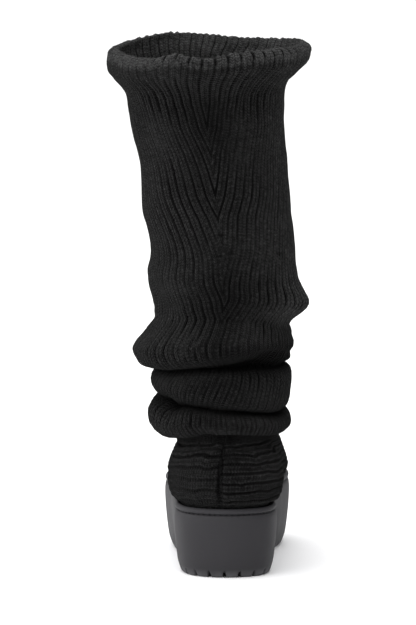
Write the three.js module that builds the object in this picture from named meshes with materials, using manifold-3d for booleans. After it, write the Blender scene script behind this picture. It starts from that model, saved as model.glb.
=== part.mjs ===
// A slouching sock boot for the left foot, about EU 38. A ribbed leg-warmer shaft is sewn to a
// ribbed knit foot, and the foot stands in a moulded platform cup sole with an insole inside.
//
// Millimetres. +X points to the inner (big-toe) side of the foot, +Y to the toe and +Z up. The
// origin is on the floor under the middle of the heel. Lengthwise places in the tables are
// stations, counted forward from the back of the sole.

import * as THREE from "three";
import { mergeVertices } from "three/addons/utils/BufferGeometryUtils.js";
import Module from "manifold-3d";

// ---------------------------------------------------------------- driving dimensions

const SOLE_LENGTH = 264;
const HEEL_CENTRE = 38; // the origin's station
const HEEL_HEIGHT = 50.5; // floor to rim at the back
const BALL_HEIGHT = 54.5; // floor to rim at the ball
const TOE_LIFT = 5; // how much further the rim climbs towards the toe
const HEEL_FLAT_END = 72;
const FORE_FLAT = { start: 154, end: 204 };
const ARCH_RISE = 10.5;
const TOE_SPRING = 13;
const FORE_ROUND = 1.2; // how much more the wall's foot is drawn in round the forefoot

const CUP_DEPTH = 8; // rim down to the cup's floor at the heel
const BED_FALL = 2; // how much the cup's floor falls from the heel to the ball
const BED_LIFT = 4; // how much it climbs again towards the toe
const CUP_INSET = 3.4; // thickness of the cup's wall at its floor
const GAP = 0.3; // between pieces that meet
const FOOT_WALL = 3.6;
const SHAFT_WALL = 3.6;
const CUFF_WALL = 7.9; // across the lip
const CUFF_DOUBLED = 8.6; // just under the lip, where the turned-in edge lies on the wall
const INSOLE_THICKNESS = 4;

const GROOVE_WIDTH = 2.2;
const GROOVE_DEPTH = 3.6;

// The rim's outline, seen from above. inner and outer are the distances from the centre line to
// the big-toe side and to the little-toe side.
const OUTLINE = [
  { at: "heel back", station: 0, inner: 0, outer: 0 },
  { at: "heel round", station: 5, inner: 18.8, outer: 18.8 },
  { at: "heel corner", station: 15, inner: 29.8, outer: 29.8 },
  { at: "heel widest", station: 34, inner: 35.8, outer: 36.6 },
  { at: "heel front", station: 60, inner: 35.2, outer: 37.8 },
  { at: "waist", station: 90, inner: 32.8, outer: 39 },
  { at: "arch end", station: 122, inner: 34, outer: 40.6 },
  { at: "joint", station: 152, inner: 40.8, outer: 43.4 },
  { at: "ball", station: 182, inner: 46.4, outer: 45.6 },
  { at: "toe root", station: 210, inner: 46.2, outer: 42.6 },
  { at: "toes", station: 234, inner: 40, outer: 34 },
  { at: "toe corner", station: 251, inner: 29, outer: 20.6 },
  { at: "toe round", station: 260.6, inner: 16.4, outer: 6.6 },
  { at: "toe tip", station: SOLE_LENGTH, inner: 5, outer: -5 },
];

// The sole's side wall, from the tread up, and then from the rim down to the cup's corner.
const WALL_UP = [
  { at: "tread edge", up: 0, inset: 5.6 },
  { at: "bevel", up: 1, inset: 4.5 },
  { at: "round", up: 3.6, inset: 3.5 },
  { at: "wall foot", up: 10, inset: 1.8 },
];
const WALL_DOWN = [
  { at: "under groove", down: 5.1, inset: 0.4 },
  { at: "groove", down: 4.4, inset: 1.5 },
  { at: "over groove", down: 3.7, inset: 0.3 },
  { at: "bead", down: 1.5, inset: 0 },
  { at: "rim", down: 0, inset: 1.7 },
  { at: "rim inside", down: 0.6, inset: 3.1 },
];

// The foot's outer face, ring by ring from the edge in the cup to the top of the collar. Each
// ring runs from its back to its front station. A rise is the height over the rim, or over the
// cup's floor in the first ring. grow widens the sole's outline at the heel and at the toe, lean
// moves the toe end to the big-toe side, and round turns the outline into the collar's ellipse.
const TUCK = -(CUP_INSET + GAP);
const FOOT_RINGS = [
  { at: "cup edge", back: 3.7, front: 260.3,
    backRise: GAP, frontRise: GAP, growHeel: TUCK, growToe: TUCK, lean: 0, round: 0 },
  { at: "rim", back: 3.7, front: 260.3,
    backRise: 0.6, frontRise: 0.6, growHeel: TUCK, growToe: TUCK, lean: 0, round: 0 },
  { at: "swell", back: 0, front: 261.6,
    backRise: 4.4, frontRise: 4.6, growHeel: 1.9, growToe: -1.2, lean: 0.5, round: 0 },
  { at: "heel full", back: -3, front: 259.4,
    backRise: 14, frontRise: 12, growHeel: 4.6, growToe: -3.2, lean: 1.1, round: 0 },
  { at: "side", back: -3.4, front: 252,
    backRise: 24, frontRise: 20.5, growHeel: 5, growToe: -6.2, lean: 1.4, round: 0.02 },
  { at: "toe top", back: -2, front: 231,
    backRise: 33, frontRise: 29.5, growHeel: 3.9, growToe: -9.8, lean: 1.6, round: 0.08 },
  { at: "vamp", back: -0.2, front: 198,
    backRise: 39, frontRise: 37.5, growHeel: 2.4, growToe: -11, lean: 1.6, round: 0.25 },
  { at: "instep", back: 1, front: 160,
    backRise: 42.6, frontRise: 45.5, growHeel: 1.8, growToe: -8.6, lean: 1, round: 0.6 },
  { at: "throat", back: 1.8, front: 126,
    backRise: 45, frontRise: 53.5, growHeel: 1.2, growToe: -4, lean: 0, round: 0.9 },
];

// The collar, a straight oval band. Its lower edge is level round the heel and climbs in front.
const COLLAR = { lat: -37.2, med: 35.8, back: 2.2, front: 104,
  latZ: 100.6, medZ: 101.6, backZ: 103, frontZ: 118.5 };
const COLLAR_HEIGHT = 11;

// The shaft's outer face, ring by ring from the hem that is sewn round the collar, down and round
// the lowest roll, and up over the folds to the cuff. The first four columns say where the ring
// crosses the little-toe side, the big-toe side, the back and the front, and the last four how
// high it is there.
const HEM = { lat: -37.7, med: 36.3, back: 1.7, front: 104.5 };
const FOLDS = [
  { at: "hem", ...HEM, latZ: 111.1, medZ: 112.1, backZ: 113.5, frontZ: 129 },
  { at: "hem foot", ...HEM, latZ: 106.2, medZ: 107.6, backZ: 109.4, frontZ: 124.5 },
  { at: "roll turn", lat: -39.2, med: 37.4, back: 0.4, front: 106.6,
    latZ: 103.2, medZ: 104.6, backZ: 106.8, frontZ: 120.5 },
  { at: "roll bottom", lat: -45, med: 40.8, back: -4.2, front: 112,
    latZ: 100.4, medZ: 103.2, backZ: 105.2, frontZ: 119 },
  { at: "roll low", lat: -51, med: 43.6, back: -8.6, front: 117,
    latZ: 103.4, medZ: 105.2, backZ: 107.4, frontZ: 122.5 },
  { at: "roll full", lat: -55.6, med: 47, back: -10.6, front: 120.5,
    latZ: 111, medZ: 110.6, backZ: 112.4, frontZ: 129.5 },
  { at: "roll top", lat: -53.6, med: 44.4, back: -8.4, front: 118.5,
    latZ: 121.5, medZ: 115.6, backZ: 118, frontZ: 136.5 },
  { at: "crease", lat: -46, med: 38, back: 7, front: 110,
    latZ: 129.5, medZ: 120.2, backZ: 122.6, frontZ: 142 },
  { at: "band low", lat: -52.6, med: 44, back: -6, front: 117,
    latZ: 133.5, medZ: 122.9, backZ: 127, frontZ: 146 },
  { at: "band full", lat: -55.6, med: 46, back: -9, front: 119,
    latZ: 140.5, medZ: 132.5, backZ: 136, frontZ: 152 },
  { at: "band top", lat: -53.6, med: 45, back: -6.4, front: 116.6,
    latZ: 146.5, medZ: 147.4, backZ: 147.4, frontZ: 157.5 },
  { at: "deep crease", lat: -48, med: 38.5, back: 10, front: 108.6,
    latZ: 151, medZ: 150.8, backZ: 152, frontZ: 161.5 },
  { at: "fold lip", lat: -57.6, med: 46.9, back: -7, front: 116.4,
    latZ: 150.8, medZ: 155.2, backZ: 156.8, frontZ: 164 },
  { at: "fold low", lat: -63.4, med: 47.4, back: -12, front: 121,
    latZ: 154.8, medZ: 161, backZ: 160, frontZ: 168.5 },
  { at: "fold full", lat: -67.4, med: 48.2, back: -13, front: 122.4,
    latZ: 161.9, medZ: 168.5, backZ: 169.4, frontZ: 175 },
  { at: "fold top", lat: -59, med: 47, back: -8.4, front: 118,
    latZ: 173.9, medZ: 174.8, backZ: 180, frontZ: 183.5 },
  { at: "neck", lat: -52, med: 45, back: -2, front: 111.6,
    latZ: 184.5, medZ: 181, backZ: 188.9, frontZ: 191.5 },
  { at: "shelf lip", lat: -52.6, med: 47, back: -3.4, front: 114.4,
    latZ: 192.5, medZ: 186, backZ: 194.5, frontZ: 196.5 },
  { at: "shelf full", lat: -54.4, med: 52, back: -4.2, front: 116,
    latZ: 202.5, medZ: 197.5, backZ: 202.5, frontZ: 203.5 },
  { at: "shelf top", lat: -56.4, med: 49.6, back: -3, front: 114,
    latZ: 216.5, medZ: 214.5, backZ: 214.5, frontZ: 215.5 },
  { at: "shin low", lat: -53.8, med: 49.6, back: -1, front: 111.4,
    latZ: 237.5, medZ: 238.5, backZ: 236.5, frontZ: 236.5 },
  { at: "shin", lat: -61.4, med: 47.8, back: 0, front: 110.6,
    latZ: 264.5, medZ: 265.5, backZ: 265.5, frontZ: 266.5 },
  { at: "calf low", lat: -62.8, med: 43.6, back: 0, front: 110,
    latZ: 296.5, medZ: 296.5, backZ: 296.5, frontZ: 299.5 },
  { at: "calf", lat: -69.2, med: 41.8, back: -1, front: 110.6,
    latZ: 327.5, medZ: 328.5, backZ: 326.5, frontZ: 332.5 },
  { at: "under cuff", lat: -73.8, med: 42.8, back: -3, front: 113,
    latZ: 349.5, medZ: 354.5, backZ: 348.5, frontZ: 357.5 },
  { at: "flare", lat: -81.8, med: 50.4, back: -8, front: 119,
    latZ: 360.5, medZ: 364.5, backZ: 359.5, frontZ: 370.5 },
  { at: "cuff full", lat: -86.2, med: 59.2, back: -13.4, front: 125.6,
    latZ: 369.1, medZ: 373.1, backZ: 368.1, frontZ: 378.5 },
  { at: "cuff lip", lat: -86.4, med: 60.6, back: -15.4, front: 128,
    latZ: 377.1, medZ: 381.1, backZ: 375.1, frontZ: 383.5 },
];

// Soft local swellings (push above zero) and hollows in the shaft. turn is the way round from the
// back seam in degrees, towards the big-toe side. reach is how far round each one goes in degrees,
// and tall how far up and down in millimetres. slant is its climb for each degree of turn.
const PUCKERS = [
  { at: "dent under the roll", turn: -19, z: 106, push: -3, lift: 1.5, reach: 11, tall: 5, slant: 0 },
  { at: "outer end of the roll", turn: -84, z: 113.5, push: 1, lift: 0, reach: 24, tall: 9, slant: 0 },
  { at: "tuck behind the roll", turn: -53, z: 126, push: -9, lift: -3.4, reach: 13, tall: 7.5, slant: -0.12 },
  { at: "eye of the pinch", turn: -62, z: 127.5, push: -4.5, lift: 0, reach: 7, tall: 4, slant: -0.1 },
  { at: "inner tuck", turn: 116, z: 130.5, push: -5, lift: -2, reach: 20, tall: 8, slant: 0.1 },
  { at: "instep pinch", turn: 172, z: 144.5, push: -5, lift: -2, reach: 22, tall: 6, slant: 0.15 },
  { at: "instep swell", turn: -150, z: 154.5, push: 4, lift: 2, reach: 24, tall: 9, slant: -0.1 },
  { at: "outer tuck of the band", turn: -112, z: 146, push: -5, lift: 0, reach: 24, tall: 6, slant: -0.2 },
  { at: "inner swell of the band", turn: 84, z: 139, push: 2, lift: 0, reach: 22, tall: 9, slant: 0.1 },
  { at: "raised lip of the fold", turn: 47, z: 157.6, push: -1, lift: 6.5, reach: 25, tall: 6, slant: 0 },
  { at: "pit under the fold", turn: 31, z: 152.6, push: -15, lift: 0, reach: 28, tall: 5, slant: 0 },
  { at: "knot at the roll's end", turn: -74, z: 119, push: 2, lift: 1.5, reach: 13, tall: 8, slant: 0 },
  { at: "outer swell of the fold", turn: -74, z: 161.5, push: 1.4, lift: 0, reach: 30, tall: 9, slant: 0 },
  { at: "inner crease of the fold", turn: 112, z: 166, push: -5, lift: 1, reach: 20, tall: 5, slant: 0.2 },
  { at: "front of the fold", turn: 148, z: 172.5, push: 4, lift: -3, reach: 26, tall: 10, slant: 0.12 },
  { at: "outer end of the fold", turn: -122, z: 171.5, push: 2.5, lift: 2, reach: 22, tall: 7, slant: -0.15 },
  { at: "pit under the shelf", turn: 62, z: 187, push: -3, lift: 0, reach: 13, tall: 6, slant: 0 },
  { at: "outer dent", turn: -58, z: 197, push: -4, lift: 0, reach: 19, tall: 8, slant: -0.28 },
  { at: "front dent", turn: -160, z: 198.5, push: -6, lift: 0, reach: 24, tall: 10, slant: 0.1 },
  { at: "corner of the shelf", turn: 78, z: 201, push: 9.6, lift: -1.5, reach: 27, tall: 12, slant: 0 },
  { at: "inner crease, shelf", turn: 118, z: 214, push: -5, lift: 0, reach: 26, tall: 6, slant: 0.22 },
  { at: "small outer swell", turn: -86, z: 218.5, push: 1.6, lift: 0, reach: 20, tall: 8, slant: 0 },
  { at: "hollow over the shelf", turn: 48, z: 224.5, push: -3, lift: 0, reach: 15, tall: 9, slant: 0.1 },
  { at: "slack in front", turn: 160, z: 228.5, push: 5, lift: 0, reach: 34, tall: 16, slant: -0.1 },
  { at: "outer shin crease", turn: -112, z: 230, push: -4.5, lift: 0, reach: 28, tall: 6, slant: -0.25 },
  { at: "outer ridge of the shin", turn: -120, z: 241, push: 3, lift: 0, reach: 30, tall: 8, slant: -0.25 },
  { at: "front crease of the shin", turn: 176, z: 250, push: -4, lift: 0, reach: 34, tall: 7, slant: 0.12 },
  { at: "inner hollow", turn: 118, z: 262, push: -3.5, lift: 0, reach: 30, tall: 16, slant: 0.15 },
  { at: "outer front hollow", turn: -128, z: 292, push: -4, lift: 0, reach: 30, tall: 24, slant: -0.1 },
  { at: "inner front ridge", turn: 140, z: 300, push: 2.5, lift: 0, reach: 30, tall: 14, slant: 0.2 },
  { at: "outer hollow, cuff", turn: -30, z: 342.5, push: -2.2, lift: 0, reach: 15, tall: 13, slant: 0 },
  { at: "inner hollow, cuff", turn: 41, z: 350.5, push: -3, lift: 0, reach: 15, tall: 9, slant: 0 },
  { at: "droop of the cuff", turn: -42, z: 374.5, push: 0, lift: -3, reach: 24, tall: 12, slant: 0 },
  { at: "bump of the lip", turn: -20, z: 376, push: 0, lift: 3, reach: 8, tall: 9, slant: 0 },
  { at: "sag of the lip", turn: -2, z: 377, push: 0, lift: -3.4, reach: 15, tall: 9, slant: 0 },
  { at: "dip of the cuff, inner", turn: 150, z: 382, push: 0, lift: -4.2, reach: 36, tall: 12, slant: 0 },
  { at: "rise of the cuff, outer", turn: -153, z: 382.5, push: 0, lift: 3, reach: 26, tall: 14, slant: 0 },
];
const CUFF_ROWS = { doubledFrom: 3.6, doubledTo: 1.2 }; // counted back from the lip's ring
const SHAFT_AROUND = 36;
const PLAIN = { from: 18, to: 25 }; // over these rows the shaft has no folds

// ---------------------------------------------------------------- curves and rings

const { lerp, smoothstep, clamp } = THREE.MathUtils;
const place = (x, station, z) => new THREE.Vector3(x, station - HEEL_CENTRE, z);

// The height of the sole's underside, and of its rim, at a station.
function underside(station) {
  const { start, end } = FORE_FLAT;
  if (station > HEEL_FLAT_END && station < start) {
    const share = (station - HEEL_FLAT_END) / (start - HEEL_FLAT_END);
    return ARCH_RISE * Math.sin(Math.PI * share) ** 2;
  }
  const past = Math.max(0, (station - end) / (SOLE_LENGTH - end));
  return TOE_SPRING * past ** 2;
}

function rimHeight(station) {
  const climb = smoothstep(station, 10, 190) * (BALL_HEIGHT - HEEL_HEIGHT);
  return HEEL_HEIGHT + climb + TOE_LIFT * smoothstep(station, 196, SOLE_LENGTH + 14);
}

// The height of the cup's floor, which the foot and the insole stand on.
function bedHeight(station) {
  const fall = smoothstep(station, 40, 190) * BED_FALL;
  return HEEL_HEIGHT - CUP_DEPTH - fall + BED_LIFT * smoothstep(station, 200, SOLE_LENGTH + 14);
}

// The outline as one closed curve that starts at the heel and passes the big-toe side first.
const innerSide = OUTLINE.map((row) => new THREE.Vector3(row.inner, row.station, 0));
const outerSide = OUTLINE.slice(1, -1).map((row) => new THREE.Vector3(-row.outer, row.station, 0));
const outline = new THREE.CatmullRomCurve3([...innerSide, ...outerSide.reverse()], true, "centripetal");
const OUTLINE_POINTS = innerSide.length + outerSide.length;

// A point of the outline moved outwards by grow, as (x, station).
function outlineAt(share, grow) {
  const p = outline.getPoint(share);
  const along = outline.getTangent(share);
  return { x: p.x + along.y * grow, station: p.y - along.x * grow };
}

const shares = (count) => Array.from({ length: count }, (_, i) => i / count);

// A ring of the sole: the outline drawn in by inset, at the height that heightAt gives. Round the
// forefoot the inset is forefoot times as large.
function soleRing(count, inset, heightAt, forefoot = 1) {
  return shares(count).map((share) => {
    const more = lerp(1, forefoot, smoothstep(outline.getPoint(share).y, 100, 170));
    const { x, station } = outlineAt(share, -inset * more);
    return place(x, station, heightAt(station));
  });
}

// A point of a foot ring. share is 0 at the back seam and 0.5 at the toe.
function footPoint(row, share) {
  const backEnd = outlineAt(0, row.growHeel).station;
  const frontEnd = outlineAt(0.5, row.growToe).station;
  const plain = outline.getPoint(share).y / SOLE_LENGTH;
  const toe = smoothstep(plain, 0.12, 0.6);
  const grow = lerp(row.growHeel, row.growToe, toe);
  const wide = outlineAt(share, grow);
  const forward = clamp((wide.station - backEnd) / (frontEnd - backEnd), 0, 1);
  const angle = 2 * Math.PI * share;
  const oval = (COLLAR.lat + COLLAR.med) / 2 + ((COLLAR.med - COLLAR.lat) / 2) * Math.sin(angle);
  const x = lerp(wide.x + row.lean * toe, oval, row.round);
  const ahead = lerp(forward, (1 - Math.cos(angle)) / 2, row.round);
  const station = lerp(row.back, row.front, ahead);
  const climb = ahead ** (1 + row.round);
  const base = row.at === "cup edge" ? bedHeight(station) : rimHeight(station);
  return place(x, station, base + lerp(row.backRise, row.frontRise, climb));
}

// A point of an oval whose height passes through its four stated heights.
function ovalPoint(row, share) {
  const angle = 2 * Math.PI * share;
  const [side, ahead] = [Math.sin(angle), -Math.cos(angle)];
  const mean = (row.latZ + row.medZ + row.backZ + row.frontZ) / 4;
  const twist = (row.latZ + row.medZ - row.backZ - row.frontZ) / 4;
  const z = mean + (side * (row.medZ - row.latZ)) / 2 + (ahead * (row.frontZ - row.backZ)) / 2;
  const x = (row.med + row.lat) / 2 + (side * (row.med - row.lat)) / 2;
  const station = (row.front + row.back) / 2 + (ahead * (row.front - row.back)) / 2;
  return place(x, station, z + twist * (side * side - ahead * ahead));
}

// A point of a shaft ring, with the puckers pressed into it.
function shaftPoint(row, share) {
  const p = ovalPoint(row, share);
  const angle = 360 * share;
  const outward = new THREE.Vector3(Math.sin(2 * Math.PI * share), -Math.cos(2 * Math.PI * share), 0);
  const moved = p.clone();
  for (const { turn, z, push, lift, reach, tall, slant } of PUCKERS) {
    const away = ((((angle - turn) % 360) + 540) % 360) - 180;
    const over = p.z - z - slant * away;
    const weight = Math.exp(-((away / reach) ** 2) - (over / tall) ** 2);
    moved.addScaledVector(outward, push * weight);
    moved.z += lift * weight;
  }
  return moved;
}

// Smooth curves through the same share of every ring, sampled into finer rings.
function refine(rings, steps) {
  const curves = rings[0].map((_, i) => {
    const points = rings.map((ring) => ring[i]);
    return new THREE.CatmullRomCurve3(points, false, "centripetal");
  });
  return steps.map((step) => curves.map((curve) => curve.getPoint(step / (rings.length - 1))));
}

// The outward direction of a surface of rings, at every point.
function normals(rings) {
  const last = rings.length - 1;
  return rings.map((ring, k) =>
    ring.map((_, i) => {
      const around = ring[(i + 1) % ring.length].clone().sub(ring[(i + ring.length - 1) % ring.length]);
      const along = rings[Math.min(k + 1, last)][i].clone().sub(rings[Math.max(k - 1, 0)][i]);
      return around.cross(along).normalize();
    }),
  );
}

// ---------------------------------------------------------------- meshes

// Bands of triangles between neighbouring rings, as indices.
function bands(count, pairs) {
  return pairs.flatMap(([low, high]) =>
    shares(count).flatMap((_, i) => {
      const [a, b] = [low * count + i, low * count + ((i + 1) % count)];
      const [c, d] = [high * count + ((i + 1) % count), high * count + i];
      return [a, b, c, a, c, d];
    }),
  );
}

// A ladder of triangles that closes a ring whose first point is at the heel, facing up.
function ladder(count, ring) {
  const at = (i) => ring * count + (i % count);
  const rungs = Array.from({ length: count / 2 }, (_, i) => i);
  return rungs.flatMap((i) => {
    const [a, b, c, d] = [at(i), at(i + 1), at(count - i - 1), at(count - i)];
    const first = i < count / 2 - 1 ? [a, b, c] : [];
    return i > 0 ? [...first, a, c, d] : first;
  });
}

function geometryOf(rings, index) {
  const points = rings.flat().flatMap((p) => [p.x, p.y, p.z]);
  const geometry = new THREE.BufferGeometry();
  geometry.setAttribute("position", new THREE.Float32BufferAttribute(points, 3));
  geometry.setIndex(index);
  geometry.computeVertexNormals();
  return geometry;
}

// A block: rings from its bottom to its top, closed by a ladder at both ends.
function block(rings) {
  const count = rings[0].length;
  const pairs = rings.slice(1).map((_, k) => [k, k + 1]);
  const bottom = ladder(count, 0).reverse();
  return geometryOf(rings, [...bottom, ...bands(count, pairs), ...ladder(count, rings.length - 1)]);
}

// A hollow wall: up its outer rings, over the top edge, and down its inner rings.
function wallOf(outer, inner) {
  const rings = [...outer, ...inner.reverse()];
  const pairs = rings.map((_, k) => [k, (k + 1) % rings.length]);
  return geometryOf(rings, bands(rings[0].length, pairs));
}

// Rings moved inwards along their normals by the wall's thickness at each ring.
function inside(rings, thickness) {
  const out = normals(rings);
  return rings.map((ring, k) => ring.map((p, i) => p.clone().addScaledVector(out[k][i], -thickness(k))));
}

// ---------------------------------------------------------------- booleans

const wasm = await Module();
wasm.setup();

function toManifold(geometry) {
  const bare = geometry.clone();
  for (const name of ["normal", "uv"]) bare.deleteAttribute(name);
  const merged = mergeVertices(bare, 1e-3);
  return new wasm.Manifold(
    new wasm.Mesh({
      numProp: 3,
      vertProperties: merged.attributes.position.array,
      triVerts: new Uint32Array(merged.index.array),
    }),
  );
}

function fromManifold(solid) {
  const mesh = solid.getMesh();
  const geometry = new THREE.BufferGeometry();
  geometry.setAttribute("position", new THREE.BufferAttribute(mesh.vertProperties, 3));
  geometry.setIndex(new THREE.BufferAttribute(mesh.triVerts, 1));
  return geometry;
}

// ---------------------------------------------------------------- the sole

// A straight bar that cuts one tread groove, from start to end in (x, station), to the groove's
// depth over the underside there.
function grooveCutter(start, end) {
  const length = Math.hypot(end.x - start.x, end.station - start.station);
  const middle = { x: (start.x + end.x) / 2, station: (start.station + end.station) / 2 };
  const deep = underside(middle.station) + GROOVE_DEPTH;
  const bottom = -1;
  const bar = new THREE.BoxGeometry(length, GROOVE_WIDTH, deep - bottom);
  bar.rotateZ(Math.atan2(end.station - start.station, end.x - start.x));
  const centre = place(middle.x, middle.station, (deep + bottom) / 2);
  bar.translate(centre.x, centre.y, centre.z);
  return toManifold(bar);
}

// The tread: grooves that fan out round the heel, two across its front, and bars that reach in
// from either side of the forefoot in turn.
function grooves() {
  const fan = { station: 38, from: 20, to: 44, count: 9, step: 19.4, skew: -2.5 };
  const cutters = Array.from({ length: fan.count }, (_, i) => {
    const turn = THREE.MathUtils.degToRad((i - (fan.count - 1) / 2) * fan.step + fan.skew);
    const at = (reach) => ({ x: reach * Math.sin(turn), station: fan.station - reach * Math.cos(turn) });
    return grooveCutter(at(fan.from), at(fan.to));
  });
  const across = { from: 10, to: 50, heel: [56, 68], first: 152, last: 242, step: 12 };
  for (const station of across.heel) {
    for (const side of [-1, 1]) {
      cutters.push(grooveCutter({ x: side * across.from, station }, { x: side * across.to, station }));
    }
  }
  for (let station = across.first; station <= across.last; station += across.step) {
    cutters.push(grooveCutter({ x: -across.from / 2, station }, { x: across.to, station }));
    const between = station + across.step / 2;
    cutters.push(grooveCutter({ x: across.from / 2, station: between }, { x: -across.to, station: between }));
  }
  return cutters;
}

function soleGeometry() {
  const count = OUTLINE_POINTS * 3;
  const rings = [
    ...WALL_UP.map((row) => soleRing(count, row.inset, (station) => underside(station) + row.up, FORE_ROUND)),
    ...WALL_DOWN.map((row) => soleRing(count, row.inset, (station) => rimHeight(station) - row.down)),
    soleRing(count, CUP_INSET, bedHeight),
  ];
  const cut = grooves().reduce((solid, cutter) => solid.subtract(cutter), toManifold(block(rings)));
  return fromManifold(cut);
}

// ---------------------------------------------------------------- the insole

function insoleGeometry() {
  const count = OUTLINE_POINTS * 3;
  const inset = CUP_INSET + GAP + FOOT_WALL + GAP;
  const floor = (station) => bedHeight(station) + GAP;
  const edge = INSOLE_THICKNESS - 1;
  return block([
    soleRing(count, inset, floor),
    soleRing(count, inset, (station) => floor(station) + edge),
    soleRing(count, inset + 1, (station) => floor(station) + INSOLE_THICKNESS),
  ]);
}

// ---------------------------------------------------------------- the foot

function footGeometry() {
  const around = shares(OUTLINE_POINTS * 3);
  const collar = around.map((share) => ovalPoint(COLLAR, share));
  const rows = [
    ...FOOT_RINGS.map((row) => around.map((share) => footPoint(row, share))),
    collar,
    collar.map((p) => p.clone().setZ(p.z + COLLAR_HEIGHT)),
  ];
  return wallOf(rows, inside(rows, () => FOOT_WALL));
}

// ---------------------------------------------------------------- the shaft

function shaftGeometry() {
  const around = shares(SHAFT_AROUND);
  const rows = FOLDS.map((row, k) => around.map((share) => (k < 3 ? ovalPoint : shaftPoint)(row, share)));
  const last = rows.length - 1;
  const halves = Array.from({ length: 2 * last + 1 }, (_, k) => k / 2);
  const plain = (step) => step > PLAIN.from && step < PLAIN.to;
  const steps = halves.filter((step) => Number.isInteger(step) || (step > 1 && !plain(step)));
  const outer = refine(rows, steps);
  const { doubledFrom, doubledTo } = CUFF_ROWS;
  const thickness = (k) => {
    const doubled = smoothstep(steps[k], last - doubledFrom, last - doubledTo);
    const wall = lerp(SHAFT_WALL, CUFF_DOUBLED, doubled);
    return lerp(wall, CUFF_WALL, smoothstep(steps[k], last - doubledTo, last));
  };
  const inner = inside(outer, thickness);
  const tip = outer.length - 1;
  const lips = [
    { across: 0.16, past: 0.22 },
    { across: 0.5, past: 0.36 },
    { across: 0.84, past: 0.22 },
  ].map(({ across, past }) =>
    outer[tip].map((p, i) => {
      const forward = p.clone().sub(outer[tip - 1][i]).normalize();
      return p.clone().lerp(inner[tip][i], across).addScaledVector(forward, CUFF_WALL * past);
    }),
  );
  return wallOf([...outer, ...lips], inner.filter((_, k) => Number.isInteger(steps[k])));
}

// ---------------------------------------------------------------- the boot

const rubber = new THREE.MeshStandardMaterial({ color: 0x46464a, roughness: 0.62, metalness: 0 });
const knit = new THREE.MeshStandardMaterial({ color: 0x17171a, roughness: 0.95, metalness: 0 });
const footKnit = new THREE.MeshStandardMaterial({ color: 0x161619, roughness: 0.95, metalness: 0 });
const sockLining = new THREE.MeshStandardMaterial({ color: 0x202022, roughness: 0.9, metalness: 0 });

function piece(name, geometry, material) {
  const mesh = new THREE.Mesh(geometry, material);
  mesh.name = name;
  return mesh;
}

const boot = new THREE.Group();
boot.add(piece("sole", soleGeometry(), rubber));
boot.add(piece("insole", insoleGeometry(), sockLining));
boot.add(piece("foot_upper", footGeometry(), footKnit));
boot.add(piece("shaft", shaftGeometry(), knit));

export default boot;
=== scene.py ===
import math

import bpy
import numpy as np
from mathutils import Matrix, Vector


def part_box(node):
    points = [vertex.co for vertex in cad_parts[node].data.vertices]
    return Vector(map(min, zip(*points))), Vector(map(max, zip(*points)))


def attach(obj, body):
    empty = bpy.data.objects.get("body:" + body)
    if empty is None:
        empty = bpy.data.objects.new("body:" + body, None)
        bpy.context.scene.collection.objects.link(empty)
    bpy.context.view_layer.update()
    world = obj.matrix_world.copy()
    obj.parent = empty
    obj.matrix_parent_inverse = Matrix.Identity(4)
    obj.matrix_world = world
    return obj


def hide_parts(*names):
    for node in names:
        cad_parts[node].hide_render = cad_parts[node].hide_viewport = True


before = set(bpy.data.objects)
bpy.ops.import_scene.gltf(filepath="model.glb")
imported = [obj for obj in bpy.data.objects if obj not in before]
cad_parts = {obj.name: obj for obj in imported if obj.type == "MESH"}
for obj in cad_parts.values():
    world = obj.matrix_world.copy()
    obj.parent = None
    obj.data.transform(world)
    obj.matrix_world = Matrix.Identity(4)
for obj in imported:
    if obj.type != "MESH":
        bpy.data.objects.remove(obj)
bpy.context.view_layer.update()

# -------------------------------- the cup sole
# A platform cup sole, moulded in one piece of dark grey rubber. Its wall rises past the foot's edge
# and ends in a bead, with a narrow trough under it for the stitches. The tread's grooves run out
# at the lower edge. Sizes are millimetres; a station is the distance forward from the heel's back.

MM = 0.001
HEEL_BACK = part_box("sole")[0][1] / MM  # the place of station 0 along the boot
SOLE_LENGTH = 264
HEEL_HEIGHT = 50.5  # tread to rim at the heel
BALL_HEIGHT = 54.5  # and at the ball
RIM_CLIMB = (10, 190)  # the stations between which the rim climbs from the one to the other
TOE_LIFT = 5  # how much the rim climbs over the toe
TOE_CLIMB = (196, SOLE_LENGTH + 14)
HEEL_FLAT_END = 72
FORE_FLAT = (154, 204)
ARCH_RISE = 10.5
TOE_SPRING = 13
FORE_ROUND = 1.2  # how much more the wall's foot is drawn in round the forefoot
FORE_ROUND_STARTS = (100, 170)
CUP_DEPTH = 8  # rim down to the cup's floor at the heel
CUP_INSET = 3.4
BED_FALL = 2  # how much the cup's floor falls from the heel to the ball
BED_FALLS = (40, 190)
BED_LIFT = 4  # and climbs again towards the toe
BED_LIFTS = (200, SOLE_LENGTH + 14)
# The middle line that the tread and the cup's floor are drawn in to.
MIDDLE_START = 34
MIDDLE_SHARE = 0.73
MIDDLE_LEAN = 0.02

# The rim from above: station, then the distances to the big-toe side and to the little-toe side.
OUTLINE = (
    (0, 0, 0),
    (5, 18.8, 18.8),
    (15, 29.8, 29.8),
    (34, 35.8, 36.6),
    (60, 35.2, 37.8),
    (90, 32.8, 39),
    (122, 34, 40.6),
    (152, 40.8, 43.4),
    (182, 46.4, 45.6),
    (210, 46.2, 42.6),
    (234, 40, 34),
    (251, 29, 20.6),
    (260.6, 16.4, 6.6),
    (SOLE_LENGTH, 5, -5),
)

# The wall's section: height over the tread (or depth under the rim), and how far inside the rim.
WALL_OVER_TREAD = ((0, 5.6), (1, 4.5), (3.6, 3.5), (10, 1.8))
WALL_UNDER_RIM = ((5.4, 0.3), (4.5, 3.2), (3.5, 0.1), (1.5, 0), (0, 1.7), (0.6, 3.1))


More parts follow.
